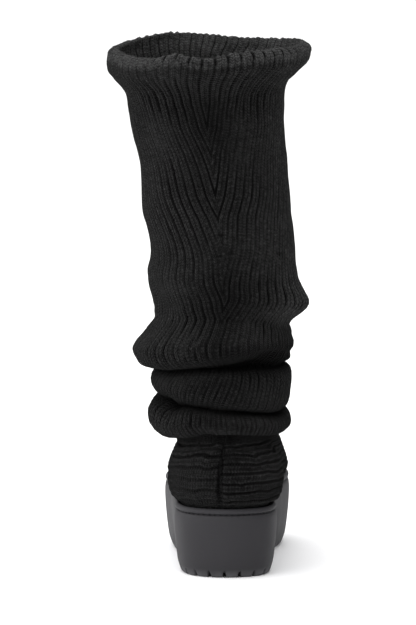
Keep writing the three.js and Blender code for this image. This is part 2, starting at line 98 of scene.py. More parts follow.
def smoothstep(value, low, high):
    """Climbs smoothly from 0 at low to 1 at high."""
    share = np.clip((value - low) / (high - low), 0, 1)
    return share * share * (3 - 2 * share)


def underside(station):
    """The tread's height: flat under the heel and the ball, lifted at the arch and the toe."""
    arch = np.clip((station - HEEL_FLAT_END) / (FORE_FLAT[0] - HEEL_FLAT_END), 0, 1)
    toe = np.clip((station - FORE_FLAT[1]) / (SOLE_LENGTH - FORE_FLAT[1]), 0, 1)
    return ARCH_RISE * np.sin(np.pi * arch) ** 2 + TOE_SPRING * toe**2


def rim_height(station):
    climb = smoothstep(station, *RIM_CLIMB) * (BALL_HEIGHT - HEEL_HEIGHT)
    return HEEL_HEIGHT + climb + TOE_LIFT * smoothstep(station, *TOE_CLIMB)


def bed_height(station):
    """The height of the cup's floor, which the foot and the insole stand on."""
    fall = smoothstep(station, *BED_FALLS) * BED_FALL
    return HEEL_HEIGHT - CUP_DEPTH - fall + BED_LIFT * smoothstep(station, *BED_LIFTS)


def between(four, share):
    """A smooth curve from the second to the third of four neighbours, at a share of the way."""
    p0, p1, p2, p3 = four
    g0, g1, g2 = (
        np.maximum(np.linalg.norm(b - a, axis=-1, keepdims=True), 1e-9) ** 0.5
        for a, b in ((p0, p1), (p1, p2), (p2, p3))
    )
    leave = ((p1 - p0) / g0 - (p2 - p0) / (g0 + g1) + (p2 - p1) / g1) * g1
    arrive = ((p2 - p1) / g1 - (p3 - p1) / (g1 + g2) + (p3 - p2) / g2) * g1
    square, cube = 3 * (p2 - p1) - 2 * leave - arrive, 2 * (p1 - p2) + leave + arrive
    return p1 + share * (leave + share * (square + share * cube))


def curve(points, steps, closed=False):
    """The smooth curve through points, at steps counted in points. Each point may be a whole ring."""
    points, steps = np.asarray(points, float), np.asarray(steps, float)
    first = np.floor(steps).astype(int)
    if closed:
        four = [points[(first + k) % len(points)] for k in (-1, 0, 1, 2)]
    else:
        first = np.minimum(first, len(points) - 2)
        longer = np.concatenate([2 * points[:1] - points[1:2], points, 2 * points[-1:] - points[-2:-1]])
        four = [longer[first + k + 1] for k in (-1, 0, 1, 2)]
    share = steps - first
    return between(four, share.reshape((-1,) + (1,) * (points.ndim - 1)))


INNER_SIDE = [(inner, station) for station, inner, outer in OUTLINE]
OUTER_SIDE = [(-outer, station) for station, inner, outer in OUTLINE[1:-1]]
RIM_CORNERS = np.array(INNER_SIDE + OUTER_SIDE[::-1], float)


def unit(direction):
    return direction / np.linalg.norm(direction, axis=-1, keepdims=True)


def outline_at(shares, grow=0.0):
    """The rim from above, moved outwards by grow. Share 0 is the heel's back, 0.5 the toe."""
    steps = np.asarray(shares) * len(RIM_CORNERS)
    nudge = 0.003
    places = curve(RIM_CORNERS, steps, closed=True)
    ahead = unit(curve(RIM_CORNERS, steps + nudge, True) - curve(RIM_CORNERS, steps - nudge, True))
    return places + np.stack([ahead[:, 1], -ahead[:, 0]], 1) * np.reshape(grow, (-1, 1))


def run_along(places):
    """How far along a line of points each point lies, or how far up a grid each row lies, on
    average round the row."""
    lengths = np.linalg.norm(np.diff(places, axis=0), axis=-1)
    if lengths.ndim == 2:
        lengths = lengths.mean(1)
    return np.concatenate([[0], np.cumsum(lengths)])


def even_shares(count):
    """Shares at an even spacing along each side of the rim, with the first one again at the end."""
    halves = []
    for start in (0, 0.5):
        shares = np.linspace(start, start + 0.5, 3001)
        run = run_along(outline_at(shares))
        halves.append(np.interp(np.linspace(0, run[-1], count // 2 + 1), run, shares))
    return np.concatenate([halves[0], halves[1][1:]])


def rim_ring(shares, inset, height_at, forefoot=1.0):
    """A ring that follows the rim, drawn in by inset, at the height that height_at gives. Round
    the forefoot the inset is forefoot times as large."""
    more = 1 + (forefoot - 1) * smoothstep(outline_at(shares)[:, 1], *FORE_ROUND_STARTS)
    places = outline_at(shares, -inset * more)
    return np.column_stack([places, height_at(places[:, 1])])


def inward(ring, shares):
    """Rings from a flat ring in to the boot's middle line, at shares of the way."""
    edge, station = ring[:, :2], ring[:, 1]
    middle = np.column_stack([MIDDLE_LEAN * station, MIDDLE_START + station * MIDDLE_SHARE])
    return [np.column_stack([edge + (middle - edge) * share, ring[:, 2]]) for share in shares]


def rungs(keys):
    """Quads that close a ring of grid keys from side to side, starting at the heel, facing up."""
    count = len(keys)
    return [(keys[i], keys[i + 1], keys[count - i - 1], keys[-i]) for i in range(count // 2)]


def linear(colour):
    """The linear red, green, blue and alpha of an sRGB hex colour."""
    parts = (int(colour[i : i + 2], 16) / 255 for i in (1, 3, 5))
    return tuple(v / 12.92 if v <= 0.04045 else ((v + 0.055) / 1.055) ** 2.4 for v in parts) + (1.0,)


def feed(tree, made, inputs):
    """Gives each socket of a node its value, or links it from an output. A node given as a value
    stands for its first output."""
    for name, value in inputs.items():
        if isinstance(value, bpy.types.Node):
            value = value.outputs[0]
        if isinstance(value, bpy.types.NodeSocket):
            tree.links.new(value, made.inputs[name])
        else:
            made.inputs[name].default_value = value


def node(tree, kind, settings=None, inputs=None):
    """Adds a node with its settings and its inputs."""
    made = tree.nodes.new("ShaderNode" + kind)
    for name, value in (settings or {}).items():
        setattr(made, name, value)
    feed(tree, made, inputs or {})
    return made


def start_material(name):
    """A new material, with its node tree and its shader."""
    material = bpy.data.materials.new(name)
    material.use_nodes = True
    return material, material.node_tree, material.node_tree.nodes["Principled BSDF"]


def add_object(name, data):
    added = bpy.data.objects.new(name, data)
    bpy.context.scene.collection.objects.link(added)
    return added


def add_mesh(name, points, faces, material):
    """Adds a smooth mesh, from points in millimetres."""
    mesh = bpy.data.meshes.new(name)
    mesh.from_pydata(((points + (0, HEEL_BACK, 0)) * MM).tolist(), [], faces)
    mesh.shade_smooth()
    mesh.materials.append(material)
    return add_object(name, mesh)


def make_piece(name, grid, material, same=None, extra=(), loop_rows=False, marks=None):
    """A smooth mesh from a grid of points in millimetres, whose last column is its first again.

    same gives the key of the point that each grid point shares. extra holds more faces, as keys.
    marks are three numbers for each grid point, kept at the face corners for the material.
    """
    rows, columns = grid.shape[:2]
    keys = np.arange(rows * columns).reshape(rows, columns)
    if same is None:
        same = keys.copy()
        same[:, -1] = same[:, 0]
    below = keys if loop_rows else keys[:-1]
    above = np.roll(keys, -1, axis=0) if loop_rows else keys[1:]
    corners = [below[:, :-1], below[:, 1:], above[:, 1:], above[:, :-1]]
    quads = np.stack(corners, -1).reshape(-1, 4).tolist() + list(extra)
    used, compact = np.unique(same.ravel(), return_inverse=True)
    faces, face_keys = [], []
    for quad in quads:
        kept = {}
        for key in quad:
            kept.setdefault(int(compact[key]), key)
        if len(kept) > 2:
            faces.append(list(kept))
            face_keys.extend(kept.values())
    piece = add_mesh(name, grid.reshape(-1, 3)[used], faces, material)
    if marks is not None:
        layer = piece.data.attributes.new("stitch", "FLOAT_VECTOR", "CORNER")
        layer.data.foreach_set("vector", marks.reshape(-1, 3)[face_keys].astype(np.float32).ravel())
    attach(piece, "root")
    return piece


GROOVE_WIDTH = 2.2
GROOVE_DEPTH = 3.6
GROOVE_FLANK = 0.45  # how far a groove's rounded edges reach to either side
GROOVE_END = (-0.8, 0.4)  # where a groove starts to deepen, and where it is full, from its end
GROOVE_FADE = (0.5, 5.5)  # the heights on the wall between which it fades out
PAST_EDGE = 50  # how far from the middle the crosswise grooves run
HEEL_FAN = 9  # grooves that fan out round the heel
FAN_ANGLE = 19.4  # degrees from one to the next
FAN_TURN = 2.5  # degrees that the fan is turned to the little-toe side
FAN_CENTRE = 38
FAN_REACH = (20, 44)
WAIST_GROOVES = (56, 68)
WAIST_START = 10  # how far from the middle they begin
FORE_GROOVES = range(152, 243, 12)
FORE_OVERLAP = 5  # how far they pass the middle


def tread_grooves():
    """The grooves as lines on the tread: x and station at the start, then at the end."""
    lines = []
    near, far = FAN_REACH
    for i in range(HEEL_FAN):
        turn = math.radians((i - HEEL_FAN // 2) * FAN_ANGLE - FAN_TURN)
        across, back = math.sin(turn), -math.cos(turn)
        lines.append((near * across, FAN_CENTRE + near * back, far * across, FAN_CENTRE + far * back))
    for station in WAIST_GROOVES:
        lines += [(side * WAIST_START, station, side * PAST_EDGE, station) for side in (-1, 1)]
    for station in FORE_GROOVES:
        # from the two sides in turn
        next_one = station + FORE_GROOVES.step / 2
        lines.append((-FORE_OVERLAP, station, PAST_EDGE, station))
        lines.append((FORE_OVERLAP, next_one, -PAST_EDGE, next_one))
    return lines


def groove_depth(x, station):
    starts, full = GROOVE_END
    depth = np.zeros_like(x)
    for x0, s0, x1, s1 in tread_grooves():
        length = math.hypot(x1 - x0, s1 - s0)
        ahead = ((x - x0) * (x1 - x0) + (station - s0) * (s1 - s0)) / length
        aside = np.abs((x - x0) * (s1 - s0) - (station - s0) * (x1 - x0)) / length
        half = GROOVE_WIDTH / 2
        across = 1 - smoothstep(aside, half - GROOVE_FLANK, half + GROOVE_FLANK)
        along = smoothstep(ahead, starts, full)
        along = along * (1 - smoothstep(ahead, length - full, length - starts))
        depth = np.maximum(depth, GROOVE_DEPTH * across * along)
    return depth


TREAD_ROWS = 27


def moulded_sole_grid(shares):
    """Rows from the middle of the tread out, up the wall, over the bead and down into the cup."""
    wall = []
    for up, inset in WALL_OVER_TREAD:
        wall.append(rim_ring(shares, inset, lambda s: underside(s) + up, FORE_ROUND))
    for down, inset in WALL_UNDER_RIM:
        wall.append(rim_ring(shares, inset, lambda s: rim_height(s) - down))
    wall.append(rim_ring(shares, CUP_INSET, bed_height))
    # four rows to each step of the section, more up the plain side and fewer in the cup
    foot_steps = [k / 4 for k in range(12)]
    side_steps = [3 + k / 9 for k in range(9)]
    rim_steps = [4 + k / 4 for k in range(20)] + [9, 9.5, 10]
    wall = curve(wall, foot_steps + side_steps + rim_steps)
    tread = np.array(inward(wall[0], np.linspace(0.97, 0.02, TREAD_ROWS)))
    tread[..., 2] = underside(tread[..., 1])
    grid = np.concatenate([tread, wall])
    over_tread = grid[..., 2] - underside(grid[..., 1])
    lifted = groove_depth(grid[..., 0], grid[..., 1]) * (1 - smoothstep(over_tread, *GROOVE_FADE))
    outside = np.arange(len(grid)) < TREAD_ROWS + len(foot_steps) + len(side_steps)
    grid[..., 2] += lifted * outside[:, None]
    return grid


def moulded_rubber():
    """Dark grey rubber from a spark-eroded mould: matt, with a fine even grain, soft unevenness
    where it has been handled, and a paler band along the tread's edge."""
    material, tree, shader = start_material("moulded_sole_rubber")
    place = node(tree, "TexCoord").outputs["Object"]
    # the mould's grain is about 0.15 mm, drawn at 0.5 mm so that it shows
    grain = node(tree, "TexNoise", inputs={"Vector": place, "Scale": 2000, "Detail": 2})
    # handling leaves patches of about 17 mm
    cloud = node(tree, "TexNoise", inputs={"Vector": place, "Scale": 60, "Detail": 3})
    # the tread's edge is paler, on its lowest 6 mm
    height = node(tree, "SeparateXYZ", inputs={"Vector": place}).outputs["Z"]
    pale_edge = node(
        tree,
        "MapRange",
        inputs={"Value": height, "From Min": 0.0005, "From Max": 0.006, "To Min": 0.55, "To Max": 0.0},
    )
    patch = node(tree, "Math", {"operation": "MULTIPLY"}, {0: pale_edge, 1: cloud})
    tone = node(
        tree, "Mix", {"data_type": "RGBA"}, {"Factor": cloud, 6: linear("#222124"), 7: linear("#29282b")}
    )
    varied = node(
        tree, "Mix", {"data_type": "RGBA"}, {"Factor": patch, 6: tone.outputs[2], 7: linear("#77777a")}
    )
    rough = node(tree, "MapRange", inputs={"Value": cloud, "To Min": 0.6, "To Max": 0.76})
    bump = node(tree, "Bump", inputs={"Height": grain, "Strength": 0.25, "Distance": 0.0003})
    feed(tree, shader, {"Base Color": varied.outputs[2], "Roughness": rough, "Normal": bump})
    feed(tree, shader, {"IOR": 1.5, "Specular IOR Level": 0.3})
    return material


def end_faces(grid):
    """Quads that close a grid below its first row and above its last."""
    keys = np.arange(grid.shape[0] * grid.shape[1]).reshape(grid.shape[:2])
    return [quad[::-1] for quad in rungs(keys[0, :-1])] + rungs(keys[-1, :-1])


rubber = moulded_rubber()
sole_grid = moulded_sole_grid(even_shares(900))
sole = make_piece("sole_moulding", sole_grid, rubber, extra=end_faces(sole_grid))
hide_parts("sole")

# -------------------------------- the sole's stitches
# A row of thick stitches lies in the trough under the bead. They are moulded with the sole in the
# same rubber, as on most cup soles of this kind.

STITCH_PITCH = 4.2
STITCH_LENGTH = 3.3
STITCH_THICK = 1.1
STITCH_DROP = 4.5  # under the rim
STITCH_INSET = 1.7
STITCH_SIDES = 8
# A stitch's round section, along it: where, as a share of its length, and how thick.
STITCH_SHAPE = ((-0.5, 0.05), (-0.42, 0.72), (-0.25, 0.98), (0, 1), (0.25, 0.98), (0.42, 0.72), (0.5, 0.05))


def stitch_line():
    """The points and faces of short round bars that follow the trough."""
    path = rim_ring(even_shares(2400), STITCH_INSET, lambda s: rim_height(s) - STITCH_DROP)
    run = run_along(path)
    count = round(run[-1] / STITCH_PITCH)
    sides = STITCH_SIDES
    turns = 2 * np.pi * np.arange(sides) / sides
    points, faces = [], []

    def on_path(distance):
        return np.array([np.interp(distance % run[-1], run, path[:, k]) for k in range(3)])

    for i in range(count):
        centre = (i + 0.5) * run[-1] / count
        rings = []
        for share, thick in STITCH_SHAPE:
            off, radius = share * STITCH_LENGTH, thick * STITCH_THICK / 2
            here, ahead = on_path(centre + off), on_path(centre + off + 0.3)
            along = (ahead - here) / np.linalg.norm(ahead - here)
            out = np.array([along[1], -along[0], 0])
            up = np.cross(out, along)
            rings.append(here + radius * (np.outer(np.cos(turns), out) + np.outer(np.sin(turns), up)))
        base = len(points)
        points += [tuple(p) for ring in rings for p in ring]
        for r in range(len(rings) - 1):
            for k in range(sides):
                a, b = base + r * sides + k, base + r * sides + (k + 1) % sides
                faces.append((a, a + sides, b + sides, b))
        faces.append(tuple(range(base, base + sides)))
        faces.append(tuple(range(len(points) - 1, len(points) - sides - 1, -1)))
    return np.array(points), faces


stitches = add_mesh("sole_stitches", *stitch_line(), rubber)
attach(stitches, "root")

# -------------------------------- the insole
# A foam insole with a woven cover lies on the cup's floor, inside the foot's edge. It only shows
# from above, down the shaft.

FOOT_WALL = 3.6
GAP = 0.3
INSOLE_THICKNESS = 4
INSOLE_INSET = CUP_INSET + GAP + FOOT_WALL + GAP
# The pad's edge: how far up, and how far inside its outline.
INSOLE_EDGE = ((0, 0.6), (0.5, 0.1), (1.2, 0), (3, 0), (3.7, 0.4), (INSOLE_THICKNESS, 1.2))
INSOLE_UNDER = (0.9, 0.5)  # shares of the way in to the middle
INSOLE_OVER = (0.05, 0.12, 0.25, 0.4, 0.6, 0.8, 0.97)


def insole_grid(shares):
    def floor(s):
        return bed_height(s) + GAP

    rings = []
    for up, inset in INSOLE_EDGE:
        rings.append(rim_ring(shares, INSOLE_INSET + inset, lambda s: floor(s) + up))
    under = inward(rings[0], INSOLE_UNDER)
    over = inward(rings[-1], INSOLE_OVER)
    for ring in under:
        ring[:, 2] = floor(ring[:, 1])
    for ring in over:
        ring[:, 2] = floor(ring[:, 1]) + INSOLE_THICKNESS
    return np.array(under + rings + over)


def woven_cover():
    """Black polyester twill: fine diagonal ribs of yarn, flat and slightly dusty."""
    material, tree, shader = start_material("woven_insole_cover")
    place = node(tree, "TexCoord").outputs["Object"]
    # twill of about 0.6 mm, drawn at 1.2 mm so that it shows
    turned = node(tree, "Mapping", inputs={"Vector": place, "Rotation": (0, 0, math.radians(45))})
    twill = node(
        tree,
        "TexWave",
        {"bands_direction": "X"},
        {"Vector": turned, "Scale": 2 * math.pi / 0.0012 / 20, "Distortion": 0.6, "Detail": 1},
    )
    # specks of lint of about 1 mm
    lint = node(tree, "TexNoise", inputs={"Vector": place, "Scale": 900, "Detail": 4})
    tone = node(
        tree, "Mix", {"data_type": "RGBA"}, {"Factor": lint, 6: linear("#1b1b1d"), 7: linear("#39393c")}
    )
    bump = node(tree, "Bump", inputs={"Height": twill.outputs["Fac"], "Strength": 0.5, "Distance": 0.0003})
    feed(tree, shader, {"Base Color": tone.outputs[2], "Roughness": 0.9, "Normal": bump})
    feed(tree, shader, {"Sheen Weight": 0.2, "Sheen Roughness": 0.5})
    return material


pad_grid = insole_grid(even_shares(320))
insole = make_piece("insole_pad", pad_grid, woven_cover(), extra=end_faces(pad_grid))
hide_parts("insole")

# -------------------------------- the foot
# The foot is a black rib knit lasted into the cup. Its ribs run round the foot, side by side up
# from the rim, and meet in a seam up the back of the heel. It ends in a straight collar.

TUCK = -(CUP_INSET + GAP)  # the foot's edge stands inside the cup's wall
# Rings from the edge in the cup up to the throat: back and front station, height over the rim at
# the back and at the front, how much wider than the rim at heel and toe, how far the toe end leans
# to the big-toe side, and how oval. The first ring's heights are over the cup's floor.
FOOT_RINGS = (
    (3.7, 260.3, GAP, GAP, TUCK, TUCK, 0, 0),
    (3.7, 260.3, 0.6, 0.6, TUCK, TUCK, 0, 0),
    (0, 261.6, 4.4, 4.6, 1.9, -1.2, 0.5, 0),
    (-3, 259.4, 14, 12, 4.6, -3.2, 1.1, 0),
    (-3.4, 252, 24, 20.5, 5, -6.2, 1.4, 0.02),
    (-2, 231, 33, 29.5, 3.9, -9.8, 1.6, 0.08),
    (-0.2, 198, 39, 37.5, 2.4, -11, 1.6, 0.25),
    (1, 160, 42.6, 45.5, 1.8, -8.6, 1, 0.6),
    (1.8, 126, 45, 53.5, 1.2, -4, 0, 0.9),
)
TOE_STARTS = (0.12, 0.6)  # shares of the sole's length between which heel turns to toe
# The collar's oval: the little-toe side, the big-toe side, the back and the front, then the height
# at each of them.
COLLAR = (-37.2, 35.8, 2.2, 104, 100.6, 101.6, 103, 118.5)
COLLAR_HEIGHT = 11


def side_by_side(*columns):
    """Numbers or arrays, stretched to one shape and put together along a new last axis."""
    return np.stack(np.broadcast_arrays(*columns), -1)


def oval(row, turn):
    """A point of an oval that is given by its four sides and its height at each of them."""
    row = np.asarray(row, float)
    little, big, back, front, little_z, big_z, back_z, front_z = np.moveaxis(row, -1, 0)
    side, ahead = np.sin(turn), -np.cos(turn)
    twist = (little_z + big_z - back_z - front_z) / 4
    z = (little_z + big_z + back_z + front_z) / 4
    z = z + side * (big_z - little_z) / 2 + ahead * (front_z - back_z) / 2
    x = (big + little) / 2 + side * (big - little) / 2
    station = (front + back) / 2 + ahead * (front - back) / 2
    return side_by_side(x, station, z + twist * (side**2 - ahead**2))


def foot_ring(row, shares, base):
    """A ring of the foot: the rim's outline at the bottom, more and more an oval further up. Its
    heights are over what base gives."""
    back, front, back_rise, front_rise, grow_heel, grow_toe, lean, roundness = row
    ends = outline_at([0, 0.5], [grow_heel, grow_toe])[:, 1]
    toe = smoothstep(outline_at(shares)[:, 1] / SOLE_LENGTH, *TOE_STARTS)
    wide = outline_at(shares, grow_heel + (grow_toe - grow_heel) * toe)
    wide_x = wide[:, 0] + lean * toe
    forward = np.clip((wide[:, 1] - ends[0]) / (ends[1] - ends[0]), 0, 1)
    turn = 2 * np.pi * shares
    oval_x = (COLLAR[0] + COLLAR[1]) / 2 + (COLLAR[1] - COLLAR[0]) / 2 * np.sin(turn)
    ahead = forward + ((1 - np.cos(turn)) / 2 - forward) * roundness
    station = back + (front - back) * ahead
    rise = back_rise + (front_rise - back_rise) * ahead ** (1 + roundness)
    return np.column_stack([wide_x + (oval_x - wide_x) * roundness, station, base(station) + rise])


def outward(grid):
    """The outward direction at every point of a grid of closed rings."""
    ring = grid[:, :-1]
    around = np.roll(ring, -1, 1) - np.roll(ring, 1, 1)
    along = np.gradient(ring, axis=0)
    normal = unit(np.cross(around, along))
    return np.concatenate([normal, normal[:, :1]], 1)


def uneven(across, up, cells, seed):
    """Smooth random numbers from -1 to 1. across counts cells and comes round after so many."""
    rows = 512
    table = np.random.default_rng(seed).uniform(-1, 1, (cells, rows))
    across, up = np.broadcast_arrays(across, up)
    i, j = np.floor(across).astype(int), np.floor(up).astype(int)
    s, t = (v * v * (3 - 2 * v) for v in (across - i, up - j))
    low = table[i % cells, j % rows] * (1 - s) + table[(i + 1) % cells, j % rows] * s
    high = table[i % cells, (j + 1) % rows] * (1 - s) + table[(i + 1) % cells, (j + 1) % rows] * s
    return low * (1 - t) + high * t


RIB_CREST = 0.9
RIB_FURROW = 1.8  # from the crest down to the bottom of a full furrow
RIB_GROOVE = 0.65  # from the crest down to the line between a rib's two wales


def bell(value, reach):
    """1 where value is 0, and close to 0 from twice reach on."""
    return np.exp(-((value / reach) ** 2))


def rib_relief(phase, furrow):
    """A rib of two wales from furrow to furrow. Where the knit is stretched the furrow is shallow,
    and the wales alone show."""
    place = phase - np.floor(phase)
    aside = np.abs(place - 0.5) * 2
    return RIB_CREST - RIB_FURROW * furrow * smoothstep(aside, 0.6, 1) - RIB_GROOVE * bell(aside, 0.22)


# The seam up the heel: the height, and the distance to the big-toe side.
HEEL_SEAM = ((50, -4.8), (55.6, -4.8), (69.2, -5.1), (84.4, -4), (92.5, -2.4), (99.5, -1.3), (120, 0))
SEAM_WIDTH = 1.1
SEAM_DEPTH = 1.3
SEAM_PULL = 3.6  # how far to either side the seam pulls the ribs flat
BACK_SHARE = 0.08  # the share of the way round, to either side, that is the heel's back
FINE_RIB = 6.5  # rib spacing on the big-toe side and round the toe
COARSE_RIB = 8.6  # where the outer heel stretches the knit
RIB_START = 0.15  # how much of the lowest rib the rim hides
HEEL_SHIFT = 0.72  # and how much more at the outer heel, where it doesn't meet the inner side's
COURSE = 2.1  # height of a stitch
FOOT_ROWS = 205
FOOT_COLUMNS = 380
INNER_ROWS = 31
RIBS_END = (8.2, 8.9)  # the rings between which the ribs run out, under the shaft's hem
SAG_ENDS = (8, 9)  # and those between which the knit stops sagging
OUTER_HEEL = (0.7, 1.0)  # shares of the way round over which the outer heel stretches the knit
OUTER_LIFT = 3.0  # how far the ribs rise to the seam on that side
OUTER_LIFTS = (0.86, 0.99)
LEVEL_ENDS = (60, 130)  # the stations between which the ribs leave the level
PATCH = (0.74, 0.9)  # the share of the way round where the smooth patch low on the heel starts
PATCH_TOP = (25, 34)


def knitted_foot():
    """The foot's grid, and for each point the wale, the course and how well light reaches it."""
    shares = even_shares(FOOT_COLUMNS)
    turn = 2 * np.pi * shares
    bases = [bed_height] + [rim_height] * (len(FOOT_RINGS) - 1)
    control = [foot_ring(row, shares, base) for row, base in zip(FOOT_RINGS, bases)]
    control.append(oval(COLLAR, turn))
    control.append(control[-1] + (0, 0, COLLAR_HEIGHT))
    control = np.array(control)
    last = len(control) - 1
    # rows an even distance apart where the rings are widest apart
    fine_steps = np.linspace(0, last, 401)
    widest = np.linalg.norm(np.diff(curve(control, fine_steps), axis=0), axis=2).max(1)
    run = np.concatenate([[0], np.cumsum(widest)])
    steps = np.interp(np.linspace(0, run[-1], FOOT_ROWS), run, fine_steps)
    outer = curve(control, steps)
    out = outward(outer)
    length = np.linalg.norm(np.diff(outer, axis=0), axis=2)
    climb = np.concatenate([np.zeros((1, length.shape[1])), np.cumsum(length, 0)])
    rim_row = np.argmin(np.abs(steps - 1))
    climb -= climb[rim_row]
    x, station, z = np.moveaxis(outer, -1, 0)

    seam = x - np.interp(z, *np.transpose(HEEL_SEAM))
    at_back = (shares < BACK_SHARE) | (shares > 1 - BACK_SHARE)
    outer_side = np.where(at_back, seam < 0, shares > 0.5)
    near_heel = smoothstep(shares, *OUTER_HEEL)
    # the ribs lie level round the heel, where the outer side's rise a little to the seam
    level = z - z[rim_row] - np.where(outer_side, OUTER_LIFT * smoothstep(shares, *OUTER_LIFTS), 0)
    climb = level + (climb - level) * smoothstep(station, *LEVEL_ENDS)
    pitch = np.where(outer_side, FINE_RIB + (COARSE_RIB - FINE_RIB) * near_heel, FINE_RIB)
    phase = climb / pitch + np.where(outer_side, RIB_START + HEEL_SHIFT * near_heel, RIB_START)
    # no rib is quite straight
    phase = phase + 0.16 * uneven(shares * 44, climb / 9, 44, 7)
    phase = phase + 0.08 * uneven(shares * 110, climb / 6, 110, 8)
    # the outer heel is stretched smooth low down
    smooth_patch = smoothstep(shares, *PATCH) * (1 - smoothstep(climb, *PATCH_TOP))
    smooth_patch = np.where(outer_side, smooth_patch, 0)
    above_rim = smoothstep(climb, 0.5, 3)
    deep = (1 - 0.6 * smooth_patch) * above_rim * (1 - smoothstep(steps, *RIBS_END))[:, None]

    furrow = np.clip(1.0 + 0.4 * uneven(shares * 24, phase * 0.9, 24, 6), 0.4, 1.3)
    relief = rib_relief(phase, furrow)
    lumps = 0.22 * uneven(shares * 90, phase, 90, 3) + 0.12 * uneven(shares * 180, climb / 3, 180, 4)
    sag = 0.7 * uneven(shares * 14, climb / 16, 14, 5)
    sag = sag * smoothstep(climb, 2, 8) * (1 - smoothstep(steps, *SAG_ENDS))[:, None]
    sewn = at_back * bell(seam, SEAM_WIDTH) * smoothstep(climb, 0, 3)
    pulled = at_back * bell(seam, SEAM_PULL) * smoothstep(climb, 0, 6)
    push = deep * (relief * 0.85 + lumps) + sag
    push = push * (1 - 0.5 * pulled) - SEAM_DEPTH * sewn - 0.3 * pulled
    outer = outer + out * push[..., None]
    inner = curve(control - outward(control) * FOOT_WALL, np.linspace(last, 0, INNER_ROWS))

    courses = run_along(control[5]) / COURSE
    lit = 1.05 * relief * deep - 0.1 + 0.4 * smooth_patch - 2.2 * sewn
    marks = side_by_side(phase * 3, courses, lit)
    inner_wales = np.linspace(INNER_ROWS - 1, 0, INNER_ROWS)[:, None]
    inner_marks = side_by_side(inner_wales, courses, 0.3)
    return np.concatenate([outer, inner]), np.concatenate([marks, inner_marks])


